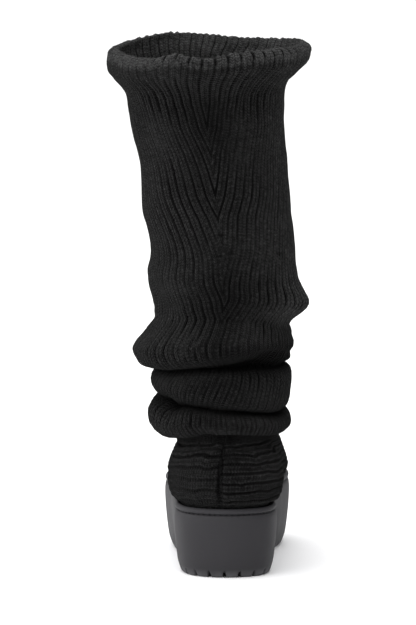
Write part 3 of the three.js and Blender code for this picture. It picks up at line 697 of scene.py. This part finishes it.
def rib_knit(name, deep, crest, lint, gap):
    """Black wool and acrylic yarn, knitted in a 2 by 2 rib: matt, with painted shade in the gaps between
    the stitches of each wale and a little pale fuzz that catches light at the edges. The light and shade
    that the stitch marks give are painted into its colour. gap is how much shade is painted in the gaps."""
    material, tree, shader = start_material(name)
    marks = node(tree, "Attribute", {"attribute_name": "stitch"}).outputs["Vector"]
    split = node(tree, "SeparateXYZ", inputs={"Vector": marks})
    wale, course, light = (split.outputs[k] for k in "XYZ")
    place = node(tree, "TexCoord").outputs["Object"]
    # from 0 in the middle of a wale, which is 2 to 3 mm wide, to 1 at its sides
    whole = node(tree, "Math", {"operation": "ROUND"}, {0: wale})
    off = node(tree, "Math", {"operation": "SUBTRACT"}, {0: wale, 1: whole})
    half = node(tree, "Math", {"operation": "ABSOLUTE"}, {0: off})
    aside = node(tree, "Math", {"operation": "MULTIPLY"}, {0: half, 1: 2.0})
    # each stitch is a V: its two legs climb from the middle to the sides. No two wales are pulled
    # quite level with each other
    climb = node(tree, "Math", {"operation": "MULTIPLY"}, {0: aside, 1: 0.55})
    level = node(tree, "TexWhiteNoise", {"noise_dimensions": "1D"}, {"W": whole})
    level = node(tree, "Math", {"operation": "MULTIPLY_ADD"}, {0: level, 1: 1.0, 2: course})
    slant = node(tree, "Math", {"operation": "SUBTRACT"}, {0: level, 1: climb})
    part = node(tree, "Math", {"operation": "FRACT"}, {0: slant})
    turn = node(tree, "Math", {"operation": "MULTIPLY"}, {0: part, 1: math.pi})
    loop = node(tree, "Math", {"operation": "SINE"}, {0: turn})
    across = node(tree, "Math", {"operation": "MULTIPLY_ADD"}, {0: aside, 1: 2.5, 2: 0.35})
    leg = node(tree, "Math", {"operation": "SINE"}, {0: across})
    yarn = node(tree, "Math", {"operation": "MULTIPLY"}, {0: loop, 1: leg})
    # single fibres are about 0.03 mm, drawn as 2 mm wisps so that they show
    wisps = node(tree, "TexNoise", inputs={"Vector": place, "Scale": 480, "Detail": 4, "Roughness": 0.7})
    # the dye takes unevenly, in patches of about 6 mm and of about 30 mm
    patches = node(tree, "TexNoise", inputs={"Vector": place, "Scale": 160, "Detail": 3})
    slow = node(tree, "TexNoise", inputs={"Vector": place, "Scale": 30, "Detail": 1})
    rough = node(tree, "Math", {"operation": "MULTIPLY"}, {0: wisps, 1: 0.9})
    height = node(tree, "Math", {"operation": "ADD"}, {0: yarn, 1: rough})
    bump = node(tree, "Bump", inputs={"Height": height, "Strength": 1.0, "Distance": 0.0014})
    # light reaches the crests of the wales and little of the furrows and of the gaps between yarns
    lit = node(
        tree,
        "MapRange",
        {"interpolation_type": "SMOOTHSTEP"},
        {"Value": light, "From Min": -0.5, "From Max": 2.4, "To Max": 2.0},
    )
    # painted shade: the gaps between yarns are darker, and the colour follows the light that the marks give
    open_yarn = node(tree, "Math", {"operation": "MULTIPLY_ADD"}, {0: yarn, 1: gap, 2: 1 - gap})
    lit_yarn = node(tree, "Math", {"operation": "MULTIPLY"}, {0: lit, 1: open_yarn})
    varied = node(tree, "Math", {"operation": "ADD"}, {0: patches, 1: slow})
    flecked = node(tree, "Math", {"operation": "MULTIPLY_ADD"}, {0: wisps, 1: 3.0, 2: varied})
    uneven_dye = node(tree, "Math", {"operation": "MULTIPLY_ADD"}, {0: flecked, 1: 1.2, 2: -2.0})
    # the painted light and shade, with the uneven dye
    shade_and_dye = node(tree, "Math", {"operation": "MULTIPLY"}, {0: lit_yarn, 1: uneven_dye})
    # no light at all comes back from the bottom of a fold
    reached = node(tree, "MapRange", inputs={"Value": light, "From Min": -2.4, "From Max": -1.2})
    shaded = node(
        tree, "Mix", {"data_type": "RGBA"}, {"Factor": reached, 6: linear("#000000"), 7: linear(deep)}
    )
    tone = node(
        tree,
        "Mix",
        {"data_type": "RGBA", "clamp_factor": False},
        {"Factor": shade_and_dye, 6: shaded.outputs[2], 7: linear(crest)},
    )
    fuzz = node(
        tree, "MapRange", inputs={"Value": wisps, "From Min": 0.54, "From Max": 0.76, "To Max": 0.5}
    )
    # painted light and shade: the fuzz is painted darker where little light reaches, in the furrows and the
    # folds, and paler where much light falls
    fuzz = node(tree, "Math", {"operation": "MULTIPLY"}, {0: fuzz, 1: lit})
    colour = node(
        tree, "Mix", {"data_type": "RGBA"}, {"Factor": fuzz, 6: tone.outputs[2], 7: linear(lint)}
    )
    feed(tree, shader, {"Base Color": colour.outputs[2], "Roughness": 0.95, "Normal": bump})
    # yarn has no shine of its own, only its fuzz has
    feed(tree, shader, {"Specular IOR Level": 0.0})
    feed(tree, shader, {"Sheen Weight": 0.045, "Sheen Roughness": 0.3, "Sheen Tint": linear("#dcdcdc")})
    return material


foot_grid, foot_marks = knitted_foot()
foot_knit = rib_knit("black_foot_rib_knit", "#090909", "#2a2a2a", "#444444", gap=0.7)
foot = make_piece("foot_knit", foot_grid, foot_knit, loop_rows=True, marks=foot_marks)
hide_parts("foot_upper")

# -------------------------------- the shaft
# The shaft is a leg-warmer tube of the same yarn in an upright 2 by 2 rib, sewn to the collar and
# turned out over it, then slouched in folds. Its two halves meet in a seam at the back and one in
# front, where the slanted ribs run together in V shapes. The cuff is turned in and flares.

HEM = (-37.7, 36.3, 1.7, 104.5)
# Rings from the hem round the lowest roll and over the folds to the lip: the little-toe side, the
# big-toe side, the back and the front, then the height at each of them.
FOLDS = (
    (*HEM, 111.1, 112.1, 113.5, 129),
    (*HEM, 106.2, 107.6, 109.4, 124.5),
    (-39.2, 37.4, 0.4, 106.6, 103.2, 104.6, 106.8, 120.5),
    (-45, 40.8, -4.2, 112, 100.4, 103.2, 105.2, 119),
    (-51, 43.6, -8.6, 117, 103.4, 105.2, 107.4, 122.5),
    (-55.6, 47, -10.6, 120.5, 111, 110.6, 112.4, 129.5),
    (-53.6, 44.4, -8.4, 118.5, 121.5, 115.6, 118, 136.5),
    (-46, 38, 7, 110, 129.5, 120.2, 122.6, 142),
    (-52.6, 44, -6, 117, 133.5, 122.9, 127, 146),
    (-55.6, 46, -9, 119, 140.5, 132.5, 136, 152),
    (-53.6, 45, -6.4, 116.6, 146.5, 147.4, 147.4, 157.5),
    (-48, 38.5, 10, 108.6, 151, 150.8, 152, 161.5),
    (-57.6, 46.9, -7, 116.4, 150.8, 155.2, 156.8, 164),
    (-63.4, 47.4, -12, 121, 154.8, 161, 160, 168.5),
    (-67.4, 48.2, -13, 122.4, 161.9, 168.5, 169.4, 175),
    (-59, 47, -8.4, 118, 173.9, 174.8, 180, 183.5),
    (-52, 45, -2, 111.6, 184.5, 181, 188.9, 191.5),
    (-52.6, 47, -3.4, 114.4, 192.5, 186, 194.5, 196.5),
    (-54.4, 52, -4.2, 116, 202.5, 197.5, 202.5, 203.5),
    (-56.4, 49.6, -3, 114, 216.5, 214.5, 214.5, 215.5),
    (-53.8, 49.6, -1, 111.4, 237.5, 238.5, 236.5, 236.5),
    (-61.4, 47.8, 0, 110.6, 264.5, 265.5, 265.5, 266.5),
    (-62.8, 43.6, 0, 110, 296.5, 296.5, 296.5, 299.5),
    (-69.2, 41.8, -1, 110.6, 327.5, 328.5, 326.5, 332.5),
    (-73.8, 42.8, -3, 113, 349.5, 354.5, 348.5, 357.5),
    (-81.8, 50.4, -8, 119, 360.5, 364.5, 359.5, 370.5),
    (-86.2, 59.2, -13.4, 125.6, 369.1, 373.1, 368.1, 378.5),
    (-86.4, 60.6, -15.4, 128, 377.1, 381.1, 375.1, 383.5),
)
# Swellings and hollows: the turn from the back seam in degrees towards the big-toe side, the
# height, how far out and up each moves the knit, its reach round and up and down, and its slant,
# which is its climb for each degree of turn.
PUCKERS = (
    (-19, 106, -3, 1.5, 11, 5, 0),
    (-84, 113.5, 1, 0, 24, 9, 0),
    (-53, 126, -9, -3.4, 13, 7.5, -0.12),
    (-62, 127.5, -4.5, 0, 7, 4, -0.1),
    (116, 130.5, -5, -2, 20, 8, 0.1),
    (172, 144.5, -5, -2, 22, 6, 0.15),
    (-150, 154.5, 4, 2, 24, 9, -0.1),
    (-112, 146, -5, 0, 24, 6, -0.2),
    (84, 139, 2, 0, 22, 9, 0.1),
    (47, 157.6, -1, 6.5, 25, 6, 0),
    (31, 152.6, -15, 0, 28, 5, 0),
    (-74, 119, 2, 1.5, 13, 8, 0),
    (-74, 161.5, 1.4, 0, 30, 9, 0),
    (112, 166, -5, 1, 20, 5, 0.2),
    (148, 172.5, 4, -3, 26, 10, 0.12),
    (-122, 171.5, 2.5, 2, 22, 7, -0.15),
    (62, 187, -3, 0, 13, 6, 0),
    (-58, 197, -4, 0, 19, 8, -0.28),
    (-160, 198.5, -6, 0, 24, 10, 0.1),
    (78, 201, 9.6, -1.5, 27, 12, 0),
    (118, 214, -5, 0, 26, 6, 0.22),
    (-86, 218.5, 1.6, 0, 20, 8, 0),
    (48, 224.5, -3, 0, 15, 9, 0.1),
    (160, 228.5, 5, 0, 34, 16, -0.1),
    (-112, 230, -4.5, 0, 28, 6, -0.25),
    (-120, 241, 3, 0, 30, 8, -0.25),
    (176, 250, -4, 0, 34, 7, 0.12),
    (118, 262, -3.5, 0, 30, 16, 0.15),
    (-128, 292, -4, 0, 30, 24, -0.1),
    (140, 300, 2.5, 0, 30, 14, 0.2),
    (-30, 342.5, -2.2, 0, 15, 13, 0),
    (41, 350.5, -3, 0, 15, 9, 0),
    (-42, 374.5, 0, -3, 24, 12, 0),
    (-20, 376, 0, 3, 8, 9, 0),
    (-2, 377, 0, -3.4, 15, 9, 0),
    (150, 382, 0, -4.2, 36, 12, 0),
    (-153, 382.5, 0, 3, 26, 14, 0),
)
SHAFT_WALL = 3.6
CUFF_WALL = 7.9  # across the lip
CUFF_DOUBLED = 8.6  # just under the lip, where the turned-in edge lies on the wall
LAST_FOLD = len(FOLDS) - 1


def shaft_ring(row, turn):
    """A point of a fold ring, with the puckers pressed into it. row and turn are arrays."""
    point = oval(np.array(FOLDS)[row], turn)
    height = point[..., 2].copy()
    out = side_by_side(np.sin(turn), -np.cos(turn))
    for centre, z, push, lift, reach, tall, slant in PUCKERS:
        away = (np.degrees(turn) - centre + 180) % 360 - 180
        over = height - z - slant * away
        weight = np.exp(-((away / reach) ** 2) - (over / tall) ** 2) * (row >= 3)
        point[..., :2] += push * weight[..., None] * out
        point[..., 2] += lift * weight
    return point


def shaft_face(step, turn):
    """The smooth outer face of the shaft. step counts the fold rings from the hem."""
    step, turn = np.broadcast_arrays(np.asarray(step, float), turn)
    first = np.clip(np.floor(step).astype(int), 0, LAST_FOLD - 1)
    four = [shaft_ring(np.clip(first + k, 0, LAST_FOLD), turn) for k in (-1, 0, 1, 2)]
    four[0] = np.where((first == 0)[..., None], 2 * four[1] - four[2], four[0])
    four[3] = np.where((first == LAST_FOLD - 1)[..., None], 2 * four[2] - four[1], four[3])
    return between(four, (step - first)[..., None])


def shaft_outward(step, turn):
    """The direction out of the smooth outer face."""
    around = shaft_face(step, turn + 0.01) - shaft_face(step, turn - 0.01)
    above, below = np.minimum(step + 0.02, LAST_FOLD), np.maximum(step - 0.02, 0)
    along = shaft_face(above, turn) - shaft_face(below, turn)
    return unit(np.cross(around, along))


# How many ribs lie between the front and the back seam, by fold ring. Each time the count passes
# a whole number a furrow ends at the seam in a V.
RIBS = (
    (0, 21.5), (16, 21.6), (17.1, 22), (19.65, 23), (20.85, 24), (21.4, 25), (22.35, 26), (23, 27),
    (23.8, 27.5), (LAST_FOLD, 27.5),
)
MOST_RIBS = 28
ON_SEAM = 0.04  # a column that ends this near the seam, counted in ribs, is on it
# How deep the furrows are, by fold ring: shallow where the knit is stretched flat.
FURROWS = (
    (0, 0.5), (9, 0.5), (14, 0.6), (17, 0.6), (19, 0.7), (21, 0.6), (22.6, 0.6), (24, 0.9),
    (25.2, 0.9), (26, 0.45), (LAST_FOLD, 0.4),
)
# How much painted shade lies at the back seam, where the ribs are squeezed together, by fold ring.
SEAM_SHADE = ((0, 0), (14, 0), (16.5, 1), (18.5, 1), (20.5, 0), (21.7, 0.1), (22.7, 1), (23.7, 1), (25, 0))
WALE_PLACES = (0, 0.14, 0.3, 0.5, 0.7, 0.86)  # furrow, flank, wale, middle, wale, flank
ROW_SPACING = 2.1
INNER_SPACING = 3.1  # of the rows inside, down to the ring INNER_EVEN_TO
INNER_EVEN_TO = 20
TURNED_ROWS = 7  # rows over the cuff's rounded edge
TURNED_RISE = 2.9  # how far the rounded edge rises past the last ring
SEAM_LEAN = -12  # degrees that the back seam leans below the folds
SEAM_SPREAD = 0.16  # how much wider the ribs stand at the seams of the flared cuff
PIT = (48, 12.15)  # the deepest place under the big fold: degrees from the back seam, fold ring
PIT_REACH = (40, 1.25)
TUCK_RING = 7  # the crease between the two lowest rolls
SEAM_SHADE_REACH = 26  # degrees from the back seam
EDGE_RING = 25.7  # past this ring the turned-in edge is too thick to follow the lip's bend
EDGE_STIFF = 0.6  # how far it keeps the direction that it has at that ring
# The fold rings between which each of these goes from nothing to full.
HEM_RIBS = (2.2, 4.5)
SLACK = (3.5, 6)
STRAIGHT_SEAM = (7.5, 10.8)
ABOVE_FOLD_SHADE = (9, 18)  # over the folds, which are painted darker
SIDE_SHADING = (13, 17)
INNER_RIBS = (15, 20)
SPREAD = (23, 26)
THICK_CUFF = (23.4, 25.8)
STIFF_EDGE = (23.5, 26)
LIT_INSIDE = (24, LAST_FOLD)
LIT_LIP = (26.3, LAST_FOLD)


def even_steps(start, end, spacing):
    """Fold rings at an even spacing on the way from start to end."""
    steps = np.linspace(start, end, 900)
    turn = np.linspace(0, 2 * np.pi, 24, endpoint=False)
    run = run_along(shaft_face(steps[:, None], turn[None, :]))
    return np.interp(np.linspace(0, run[-1], round(run[-1] / spacing) + 1), run, steps)


def knitted_shaft():
    """The shaft's grid, for each point the wale, the course and how well light reaches it, and the
    key of the point that it shares."""
    # rows up the outside, over the edge and down the inside; over goes from 0 outside to 1 inside.
    # steps and over are columns
    outer_steps = even_steps(0, LAST_FOLD, ROW_SPACING)
    inner_steps = even_steps(INNER_EVEN_TO, LAST_FOLD, INNER_SPACING)[::-1]
    inner_steps = np.concatenate([inner_steps, np.arange(INNER_EVEN_TO - 1, -1, -1)])
    edge_over = np.arange(1, TURNED_ROWS + 1) / (TURNED_ROWS + 1)
    steps = np.concatenate([outer_steps, np.full(TURNED_ROWS, LAST_FOLD), inner_steps])[:, None]
    over = np.concatenate([np.zeros(len(outer_steps)), edge_over, np.ones(len(inner_steps))])[:, None]
    outside = 1 - over

    # columns follow the ribs, counted from the front seam; those past the seam fold into it
    knots = np.array([i + k for i in range(MOST_RIBS) for k in WALE_PLACES])
    wales = np.arange(len(knots)) / 2
    count = np.interp(steps, *np.transpose(RIBS))
    rib = np.minimum(np.append(knots, MOST_RIBS), count)
    at_seam = rib >= count - ON_SEAM
    rib = np.where(at_seam, count, rib)
    share = rib / count
    spread = SEAM_SPREAD * smoothstep(steps, *SPREAD)
    back_to_front = np.pi * (1 - share - spread * np.sin(2 * np.pi * share) / (2 * np.pi))
    # the back seam, the big-toe side to the front, the little-toe side, the seam again
    columns = [np.arange(len(knots), -1, -1), np.arange(1, len(knots) + 1)]
    order = np.concatenate(columns)
    side = np.concatenate([np.ones(len(columns[0])), -np.ones(len(columns[1]))])
    lean = np.radians(SEAM_LEAN) * (1 - smoothstep(steps, *STRAIGHT_SEAM))
    turn = back_to_front[:, order] * side + lean
    rib, at_seam = rib[:, order], at_seam[:, order]
    wale = np.interp(rib, knots, wales) * side

    # the smooth form: the outer face, a little slack, and the wall's thickness to the inner one
    step = steps + 0 * turn
    out = shaft_outward(step, turn)
    stiff = EDGE_STIFF * (over * smoothstep(steps, *STIFF_EDGE))[..., None]
    inset = unit(out + (shaft_outward(EDGE_RING + 0 * turn, turn) - out) * stiff)
    around = turn / (2 * np.pi)
    slack = 0.9 * uneven(around * 9, steps * 1.1, 9, 11)
    slack = slack + 0.4 * uneven(around * 22, steps * 2.3, 22, 12)
    slack = smoothstep(steps, *SLACK) * slack
    face = shaft_face(step, turn) + out * slack[..., None]
    thick = SHAFT_WALL + (CUFF_DOUBLED - SHAFT_WALL) * smoothstep(steps, *THICK_CUFF)
    thick = thick + (CUFF_WALL - CUFF_DOUBLED) * smoothstep(steps, THICK_CUFF[1], LAST_FOLD)
    lip = np.full_like(turn, LAST_FOLD)
    ahead = unit(shaft_face(lip, turn) - shaft_face(lip - 0.03, turn))
    tip = np.pi * over
    facing = out * np.cos(tip)[..., None] + ahead * np.sin(tip)[..., None]
    deep = thick * (1 - np.cos(tip)) / 2
    grid = face - inset * deep[..., None] + ahead * (TURNED_RISE * np.sin(tip))[..., None]

    # the ribs and the stitches' lumps, which stand up most on the lip
    at_lip = np.sin(tip)
    depth = np.interp(steps, *np.transpose(FURROWS))
    depth = depth + 0.55 * uneven(around * 17, steps * 0.7, 17, 15)
    depth = depth + 0.2 * uneven(rib, steps * 2, 31, 16)
    depth = np.clip(depth + 0.65 * at_lip, 0.15, 1.15 + 0.2 * at_lip)
    turned_in = smoothstep(over, 0.55, 1)
    relief = rib_relief(rib, depth) * (1 - turned_in) + rib_relief(rib + 0.5, 0.6) * turned_in
    lumps = 0.2 * uneven(wale, steps * 5, 97, 13)
    lumps = lumps + 0.25 * uneven(wale / 2, steps * 2, 61, 14)
    lumps = lumps + at_lip * uneven(wale, over * 3, 97, 17)
    outer_reach = 0.8 * smoothstep(steps, *HEM_RIBS)
    inner_reach = 0.9 * smoothstep(steps, *INNER_RIBS)
    reach = outer_reach * outside + inner_reach * over
    grid = grid + facing * (reach * (relief + lumps))[..., None]

    degrees = np.degrees(turn)
    courses = (run_along(grid) / COURSE)[:, None]
    # painted light: the lip and the stitches just inside it are painted lighter, where light falls on them
    # from above
    lip_light = smoothstep(steps, *LIT_LIP) * outside + smoothstep(steps, *LIT_INSIDE) * over
    # painted shade: the knit low down over the folds is painted darker, and the pit under the big fold and
    # the crease between the two lowest rolls are painted near black, as little light reaches them
    fold_shade = 0.28 * (1 - smoothstep(steps, *ABOVE_FOLD_SHADE)) * outside
    pit = bell(degrees - PIT[0], PIT_REACH[0]) * bell(step - PIT[1], PIT_REACH[1]) * outside
    tucked = bell(step - TUCK_RING, 0.6) * outside
    # painted shade: little light gets in where the ribs are squeezed together at the seam
    seam_shade = bell(degrees, SEAM_SHADE_REACH) * (np.interp(steps, *np.transpose(SEAM_SHADE)) * outside)
    # painted light and shade: down the big-toe side, which the folds push out, the crests are painted
    # lighter and the furrows darker
    inner_side = smoothstep(degrees, 35, 70) * (1 - smoothstep(degrees, 110, 150))
    side_shading = inner_side * (smoothstep(steps, *SIDE_SHADING) * outside)
    lit = relief * (0.85 + 0.6 * side_shading) + lip_light * (0.9 + 1.3 * relief) - fold_shade
    lit = lit - 3.0 * pit - 2.2 * tucked - 0.4 * seam_shade

    marks = side_by_side(wale, courses, lit)
    keys = np.arange(grid.shape[0] * grid.shape[1]).reshape(grid.shape[:2])
    # every point on the seam in a row is one point
    same = np.where(at_seam, keys[:, :1], keys)
    grid = np.where(at_seam[..., None], grid[:, :1], grid)
    return grid, marks, same


shaft_grid, shaft_marks, shaft_same = knitted_shaft()
shaft_knit = rib_knit("black_shaft_rib_knit", "#0c0c0c", "#303030", "#4c4c4c", gap=0.6)
shaft = make_piece("shaft_knit", shaft_grid, shaft_knit, same=shaft_same, loop_rows=True, marks=shaft_marks)
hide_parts("shaft")

# -------------------------------- the floor
# A smooth white floor of painted board, with no edge in sight. It isn't part of the boot.


def painted_board():
    """White emulsion on board: matt, with the roller's faint stipple, and painted shade round the
    middle, where the boot stands, which makes it a little greyer there than further out."""
    material, tree, shader = start_material("white_painted_board")
    place = node(tree, "TexCoord").outputs["Object"]
    # the stipple is about 2 mm, drawn at 11 mm so that it shows
    roller = node(tree, "TexNoise", inputs={"Vector": place, "Scale": 90, "Detail": 2})
    away = node(tree, "VectorMath", {"operation": "LENGTH"}, {0: place})
    # painted shade: greyer round the boot, whiter further out
    farther_out = node(
        tree,
        "MapRange",
        {"interpolation_type": "SMOOTHSTEP"},
        {"Value": away.outputs["Value"], "From Min": 0.2, "From Max": 0.7},
    )
    tone = node(
        tree, "Mix", {"data_type": "RGBA"}, {"Factor": farther_out, 6: linear("#f8f8f9"), 7: linear("#fbfbfb")}
    )
    bump = node(tree, "Bump", inputs={"Height": roller, "Strength": 0.05, "Distance": 0.0005})
    feed(tree, shader, {"Base Color": tone.outputs[2], "Roughness": 0.6, "Normal": bump})
    return material


FLOOR_HALF = 30  # metres from the middle to a side
floor_mesh = bpy.data.meshes.new("floor")
floor_corners = [(x * FLOOR_HALF, y * FLOOR_HALF, 0) for x, y in ((-1, -1), (1, -1), (1, 1), (-1, 1))]
floor_mesh.from_pydata(floor_corners, [], [(0, 1, 2, 3)])
floor_mesh.materials.append(painted_board())
floor = add_object("floor", floor_mesh)

# -------------------------------- light and camera
# A bright white studio: light from every side, most of it from above on the left. Three round soft
# boxes hang high behind the camera on its left, at the left and above the boot. The camera stands
# straight behind the heel, a little higher than the cuff. Places and sizes are metres.

BOOT_MIDDLE = (-0.0135, 0.03, 0.19)


def aimed(place, aim):
    """The rotation that turns a lamp or a camera at place towards aim, held level."""
    x, y, z = (a - b for a, b in zip(aim, place))
    return (math.atan2(math.hypot(x, y), -z), 0, math.atan2(-x, y))


def soft_box(name, place, size, power):
    light = bpy.data.lights.new(name, "AREA")
    light.shape = "DISK"
    light.size = size
    light.energy = power
    lamp = add_object(name, light)
    lamp.location = place
    lamp.rotation_euler = aimed(place, BOOT_MIDDLE)


soft_box("soft_box_camera", (-1.3, -2.2, 3.2), size=5.0, power=60)
soft_box("soft_box_left", (-2.6, 0.9, 1.6), size=2.4, power=13)
soft_box("soft_box_above", (-0.2, 0.6, 3.0), size=3.0, power=46)
BRIGHT_SIDE = (-0.42, -0.08, 0.9)  # the direction that most of the room's light comes from
BRIGHTEST = 1.75


def white_studio():
    """Light from every side, brightest towards BRIGHT_SIDE. Seen straight, it is white."""
    world = bpy.data.worlds.new("white_studio")
    world.use_nodes = True
    tree = world.node_tree
    towards = node(tree, "TexCoord").outputs["Generated"]
    facing = node(tree, "VectorMath", {"operation": "DOT_PRODUCT"}, {0: towards, 1: BRIGHT_SIDE})
    glow = node(
        tree,
        "MapRange",
        inputs={"Value": facing.outputs["Value"], "From Min": -0.35, "From Max": 1.0, "To Max": BRIGHTEST},
    )
    seen = node(tree, "LightPath").outputs["Is Camera Ray"]
    strength = node(tree, "Mix", {"data_type": "FLOAT"}, {"Factor": seen, 2: glow, 3: 1.0})
    feed(tree, tree.nodes["Background"], {"Color": linear("#ffffff"), "Strength": strength})
    return world


bpy.context.scene.world = white_studio()
bpy.context.scene.view_settings.view_transform = "Standard"

CAMERA_PLACE = (-0.0016, -3.9084, 0.5695)
CAMERA_AIM = (-0.0135, 0.03, 0.187)
camera = add_object("camera", bpy.data.cameras.new("camera"))
camera.data.lens = 311
camera.data.clip_end = 100
camera.location = CAMERA_PLACE
camera.rotation_euler = aimed(CAMERA_PLACE, CAMERA_AIM)
bpy.context.scene.camera = camera
